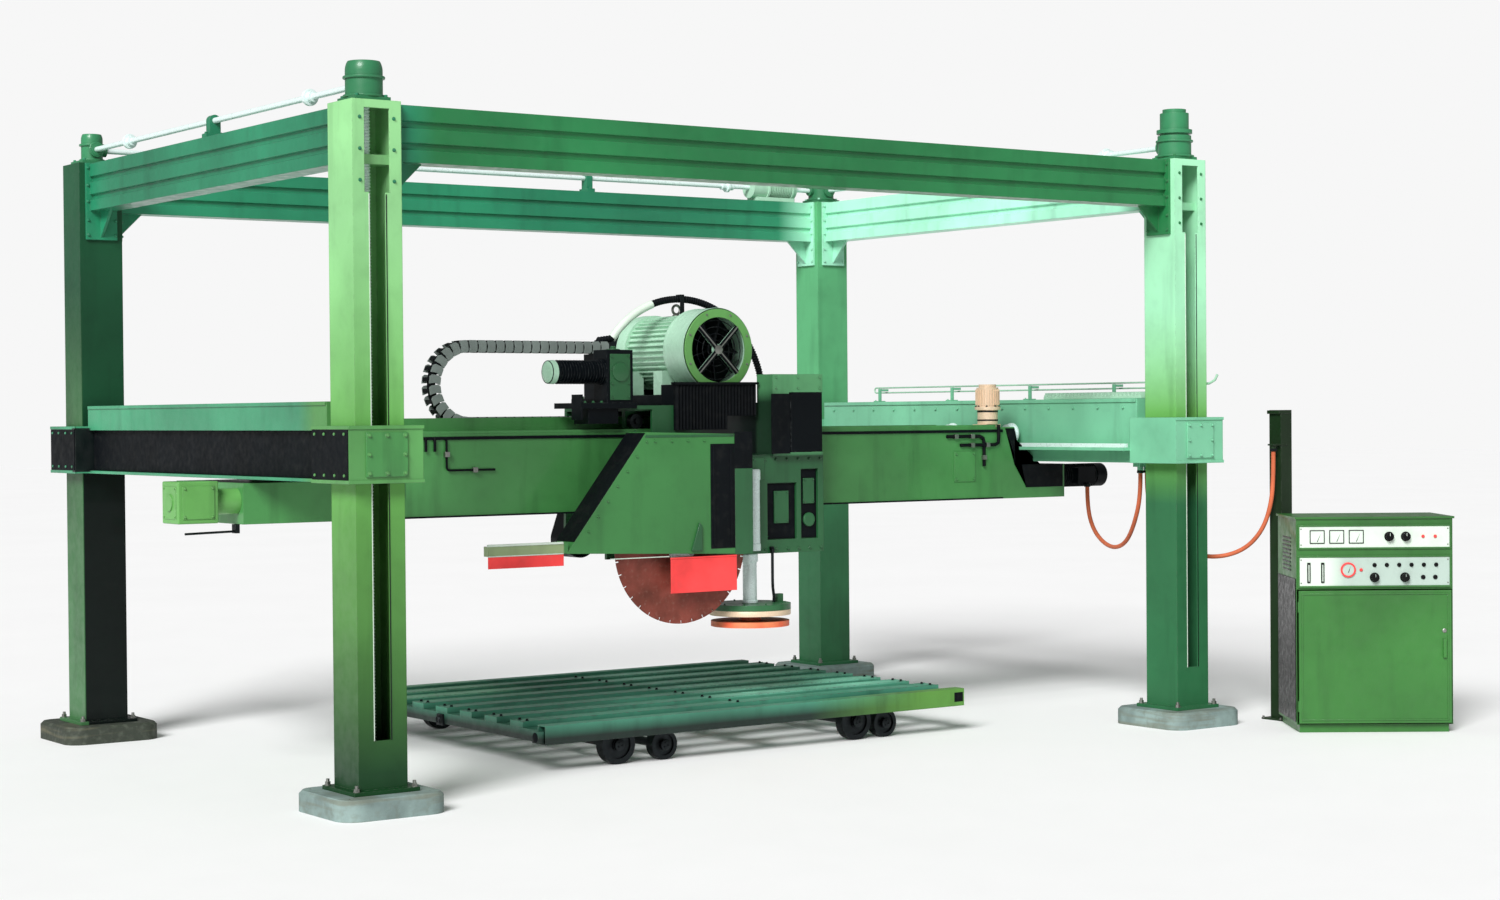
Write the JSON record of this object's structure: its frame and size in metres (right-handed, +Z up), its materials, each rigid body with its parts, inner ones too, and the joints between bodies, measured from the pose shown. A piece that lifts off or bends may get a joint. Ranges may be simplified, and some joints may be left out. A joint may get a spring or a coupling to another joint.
{
  "type": "four-column bridge saw",
  "caption": "Four-column stone-block saw with a lifting bridge, a head with upright and flat blades, a wheeled block trolley and a separate control cabinet.",
  "frame": {"origin": "centre of the four columns' foundation bolts at floor level", "axes": "+X to the right along the front, +Y to the rear, +Z up"},
  "size_m": [9.1746, 6.5388, 4.722],
  "materials": {
    "plinth_grey": "matt",
    "zinc_steel": "satin",
    "machine_enamel": "semi-gloss enamel",
    "beam_enamel": "semi-gloss enamel",
    "gearbox_enamel": "semi-gloss enamel",
    "pale_enamel": "gloss enamel",
    "carriage_enamel": "semi-gloss enamel",
    "black_rubber": "matt",
    "ground_steel": "ground",
    "bronze": "machined",
    "bridge_enamel": "semi-gloss enamel",
    "light_green_enamel": "semi-gloss enamel",
    "black_enamel": "semi-gloss enamel",
    "copper_metal": "satin",
    "head_enamel": "semi-gloss enamel",
    "hood_enamel": "semi-gloss enamel",
    "red_rubber": "matt",
    "dark_steel": "oiled",
    "belt_rubber": "matt",
    "blade_steel": "used",
    "chain_plastic": "matt",
    "flat_blade_steel": "used",
    "trolley_enamel": "worn enamel",
    "cabinet_enamel": "semi-gloss enamel",
    "panel_paint": "satin",
    "black_plastic": "gloss",
    "orange_hose": "satin"
  },
  "bodies": {
    "frame": {"foot_plinths": "plinth_grey", "anchor_bolts": "zinc_steel", "columns": "machine_enamel", "top_beam_front": "beam_enamel", "top_beam_rear": "beam_enamel", "top_side_beams": "beam_enamel", "lift_gearboxes": "gearbox_enamel", "lift_motor": "pale_enamel", "cabinet_case": "cabinet_enamel", "control_panels": "panel_paint", "cable_post": "machine_enamel", "supply_hose": "orange_hose"},
    "screw_front_left": {"lift_screw_front_left": "ground_steel"},
    "screw_front_right": {"lift_screw_front_right": "ground_steel"},
    "screw_rear_left": {"lift_screw_rear_left": "ground_steel"},
    "screw_rear_right": {"lift_screw_rear_right": "ground_steel"},
    "shaft_rear": {"line_shaft_rear": "ground_steel"},
    "shaft_left": {"line_shaft_left": "ground_steel"},
    "shaft_right": {"line_shaft_right": "ground_steel"},
    "lift_frame": {"lift_frame_left": "carriage_enamel", "lift_frame_right": "carriage_enamel", "side_aprons": "black_rubber", "bridge_rails": "ground_steel", "lift_nuts": "bronze"},
    "bridge": {"bridge_girder": "bridge_enamel", "bridge_gearbox": "light_green_enamel", "bridge_motor": "black_enamel", "coolant_pump": "copper_metal", "bridge_hose": "orange_hose"},
    "bridge_front_wheels": {"bridge_drive_shaft": "ground_steel"},
    "bridge_rear_wheel_left": {"bridge_idler_left": "ground_steel"},
    "bridge_rear_wheel_right": {"bridge_idler_right": "ground_steel"},
    "saw_carriage": {"saddle": "head_enamel", "blade_hood": "hood_enamel", "main_motor": "pale_enamel", "drive_belts": "belt_rubber", "belt_guard": "black_enamel", "carriage_drive": "black_enamel", "chain_run": "chain_plastic"},
    "carriage_left_wheels": {"carriage_wheels_left": "dark_steel"},
    "carriage_right_wheels": {"carriage_wheels_right": "dark_steel"},
    "chain_loop": {"chain_bend": "chain_plastic"},
    "blade": {"saw_blade": "blade_steel", "blade_spindle": "ground_steel"},
    "rotor": {"motor_rotor": "dark_steel"},
    "flap": {"blade_flap": "red_rubber"},
    "horizontal_unit": {"horizontal_head": "head_enamel", "horizontal_motor": "black_enamel"},
    "flat_blade": {"horizontal_blade": "flat_blade_steel"},
    "trolley": {"trolley_frame": "trolley_enamel", "trolley_deck": "trolley_enamel"},
    "trolley_wheels_1": {"trolley_wheelset_1": "dark_steel"},
    "trolley_wheels_2": {"trolley_wheelset_2": "dark_steel"},
    "trolley_wheels_3": {"trolley_wheelset_3": "dark_steel"},
    "trolley_wheels_4": {"trolley_wheelset_4": "dark_steel"},
    "door": {"cabinet_door": "cabinet_enamel"},
    "knob_1": {"rotary_knob_1": "black_plastic"},
    "knob_2": {"rotary_knob_2": "black_plastic"},
    "knob_3": {"rotary_knob_3": "black_plastic"},
    "knob_4": {"rotary_knob_4": "black_plastic"}
  },
  "joints": [
    {"name": "lift_travel", "type": "slide", "parent": "frame", "child": "lift_frame", "axis": [0, 0, 1], "range_m": [-0.42, 1.2], "deforming": ["supply_hose"]},
    {"name": "screw_front_left_turn", "type": "hinge", "parent": "frame", "child": "screw_front_left", "pos_m": [-3.45, -2.25, 2], "axis": [0, 0, 1], "continuous": true},
    {"name": "screw_front_right_turn", "type": "hinge", "parent": "frame", "child": "screw_front_right", "pos_m": [3.45, -2.25, 2], "axis": [0, 0, 1], "continuous": true},
    {"name": "screw_rear_left_turn", "type": "hinge", "parent": "frame", "child": "screw_rear_left", "pos_m": [-3.45, 2.25, 2], "axis": [0, 0, 1], "continuous": true},
    {"name": "screw_rear_right_turn", "type": "hinge", "parent": "frame", "child": "screw_rear_right", "pos_m": [3.45, 2.25, 2], "axis": [0, 0, 1], "continuous": true},
    {"name": "shaft_rear_turn", "type": "hinge", "parent": "frame", "child": "shaft_rear", "pos_m": [0, 2.25, 4.44], "axis": [1, 0, 0], "continuous": true},
    {"name": "shaft_left_turn", "type": "hinge", "parent": "frame", "child": "shaft_left", "pos_m": [-3.45, 0, 4.44], "axis": [0, 1, 0], "continuous": true},
    {"name": "shaft_right_turn", "type": "hinge", "parent": "frame", "child": "shaft_right", "pos_m": [3.45, 0, 4.44], "axis": [0, 1, 0], "continuous": true},
    {"name": "bridge_travel", "type": "slide", "parent": "lift_frame", "child": "bridge", "axis": [0, 1, 0], "range_m": [-0.62, 1.3], "deforming": ["bridge_hose"]},
    {"name": "bridge_front_wheels_turn", "type": "hinge", "parent": "bridge", "child": "bridge_front_wheels", "pos_m": [0, -0.62, 2.235], "axis": [1, 0, 0], "continuous": true},
    {"name": "bridge_rear_wheel_left_turn", "type": "hinge", "parent": "bridge", "child": "bridge_rear_wheel_left", "pos_m": [-3.18, 0.12, 2.235], "axis": [1, 0, 0], "continuous": true},
    {"name": "bridge_rear_wheel_right_turn", "type": "hinge", "parent": "bridge", "child": "bridge_rear_wheel_right", "pos_m": [3.18, 0.12, 2.235], "axis": [1, 0, 0], "continuous": true},
    {"name": "carriage_travel", "type": "slide", "parent": "bridge", "child": "saw_carriage", "axis": [1, 0, 0], "range_m": [-1.1, 1.9]},
    {"name": "carriage_left_wheels_turn", "type": "hinge", "parent": "saw_carriage", "child": "carriage_left_wheels", "pos_m": [-0.55, -0.4, 2.365], "axis": [0, 1, 0], "continuous": true},
    {"name": "carriage_right_wheels_turn", "type": "hinge", "parent": "saw_carriage", "child": "carriage_right_wheels", "pos_m": [0.75, -0.4, 2.365], "axis": [0, 1, 0], "continuous": true},
    {"name": "chain_loop_travel", "type": "slide", "parent": "saw_carriage", "child": "chain_loop", "axis": [1, 0, 0], "range_m": [-0.96, 0.56], "deforming": ["chain_run"]},
    {"name": "blade_turn", "type": "hinge", "parent": "saw_carriage", "child": "blade", "pos_m": [-0.45, -1.2, 1.473], "axis": [0, 1, 0], "continuous": true},
    {"name": "rotor_turn", "type": "hinge", "parent": "saw_carriage", "child": "rotor", "pos_m": [0.17, 0.25, 2.89], "axis": [0, 1, 0], "continuous": true},
    {"name": "flap_swing", "type": "hinge", "parent": "saw_carriage", "child": "flap", "pos_m": [-0.285, -1.301, 1.392], "axis": [1, 0, 0], "range_deg": [-75, 0]},
    {"name": "horizontal_unit_travel", "type": "slide", "parent": "saw_carriage", "child": "horizontal_unit", "axis": [0, 0, 1], "range_m": [0, 0.25]},
    {"name": "flat_blade_turn", "type": "hinge", "parent": "horizontal_unit", "child": "flat_blade", "pos_m": [0.3, -1, 0.9], "axis": [0, 0, 1], "continuous": true},
    {"name": "trolley_travel", "type": "slide", "parent": "frame", "child": "trolley", "axis": [1, 0, 0], "range_m": [-4.5, 4.5]},
    {"name": "trolley_wheels_1_turn", "type": "hinge", "parent": "trolley", "child": "trolley_wheels_1", "pos_m": [-1.15, -0.15, 0.135], "axis": [0, 1, 0], "continuous": true},
    {"name": "trolley_wheels_2_turn", "type": "hinge", "parent": "trolley", "child": "trolley_wheels_2", "pos_m": [-0.77, -0.15, 0.105], "axis": [0, 1, 0], "continuous": true},
    {"name": "trolley_wheels_3_turn", "type": "hinge", "parent": "trolley", "child": "trolley_wheels_3", "pos_m": [0.93, -0.15, 0.135], "axis": [0, 1, 0], "continuous": true},
    {"name": "trolley_wheels_4_turn", "type": "hinge", "parent": "trolley", "child": "trolley_wheels_4", "pos_m": [1.2, -0.15, 0.105], "axis": [0, 1, 0], "continuous": true},
    {"name": "door_swing", "type": "hinge", "parent": "frame", "child": "door", "pos_m": [3.71993, -3.24158, 0.56], "axis": [0, 0, 1], "range_deg": [-110, 0]},
    {"name": "knob_1_turn", "type": "hinge", "parent": "frame", "child": "knob_1", "pos_m": [4.26669, -3.63746, 1.462], "axis": [-0.5948, -0.8039, 0], "range_deg": [-135, 135]},
    {"name": "knob_2_turn", "type": "hinge", "parent": "frame", "child": "knob_2", "pos_m": [4.36557, -3.71062, 1.462], "axis": [-0.5948, -0.8039, 0], "range_deg": [-135, 135]},
    {"name": "knob_3_turn", "type": "hinge", "parent": "frame", "child": "knob_3", "pos_m": [4.17907, -3.57262, 1.158], "axis": [-0.5948, -0.8039, 0], "range_deg": [-135, 135]},
    {"name": "knob_4_turn", "type": "hinge", "parent": "frame", "child": "knob_4", "pos_m": [4.35994, -3.70646, 1.158], "axis": [-0.5948, -0.8039, 0], "range_deg": [-135, 135]}
  ],
  "couplings": [
    {"joint": "screw_front_left_turn", "follows": "lift_travel", "rad_per_m": 314.16},
    {"joint": "screw_front_right_turn", "follows": "lift_travel", "rad_per_m": 314.16},
    {"joint": "screw_rear_left_turn", "follows": "lift_travel", "rad_per_m": 314.16},
    {"joint": "screw_rear_right_turn", "follows": "lift_travel", "rad_per_m": 314.16},
    {"joint": "shaft_rear_turn", "follows": "lift_travel", "rad_per_m": 628.32},
    {"joint": "shaft_left_turn", "follows": "lift_travel", "rad_per_m": 628.32},
    {"joint": "shaft_right_turn", "follows": "lift_travel", "rad_per_m": 628.32},
    {"joint": "bridge_front_wheels_turn", "follows": "bridge_travel", "rad_per_m": -13.333},
    {"joint": "bridge_rear_wheel_left_turn", "follows": "bridge_travel", "rad_per_m": -13.333},
    {"joint": "bridge_rear_wheel_right_turn", "follows": "bridge_travel", "rad_per_m": -13.333},
    {"joint": "carriage_left_wheels_turn", "follows": "carriage_travel", "rad_per_m": 18.182},
    {"joint": "carriage_right_wheels_turn", "follows": "carriage_travel", "rad_per_m": 18.182},
    {"joint": "chain_loop_travel", "follows": "carriage_travel", "ratio": -0.5},
    {"joint": "rotor_turn", "follows": "blade_turn", "ratio": 1.6667},
    {"joint": "trolley_wheels_1_turn", "follows": "trolley_travel", "rad_per_m": 7.4074},
    {"joint": "trolley_wheels_2_turn", "follows": "trolley_travel", "rad_per_m": 9.5238},
    {"joint": "trolley_wheels_3_turn", "follows": "trolley_travel", "rad_per_m": 7.4074},
    {"joint": "trolley_wheels_4_turn", "follows": "trolley_travel", "rad_per_m": 9.5238}
  ]
}
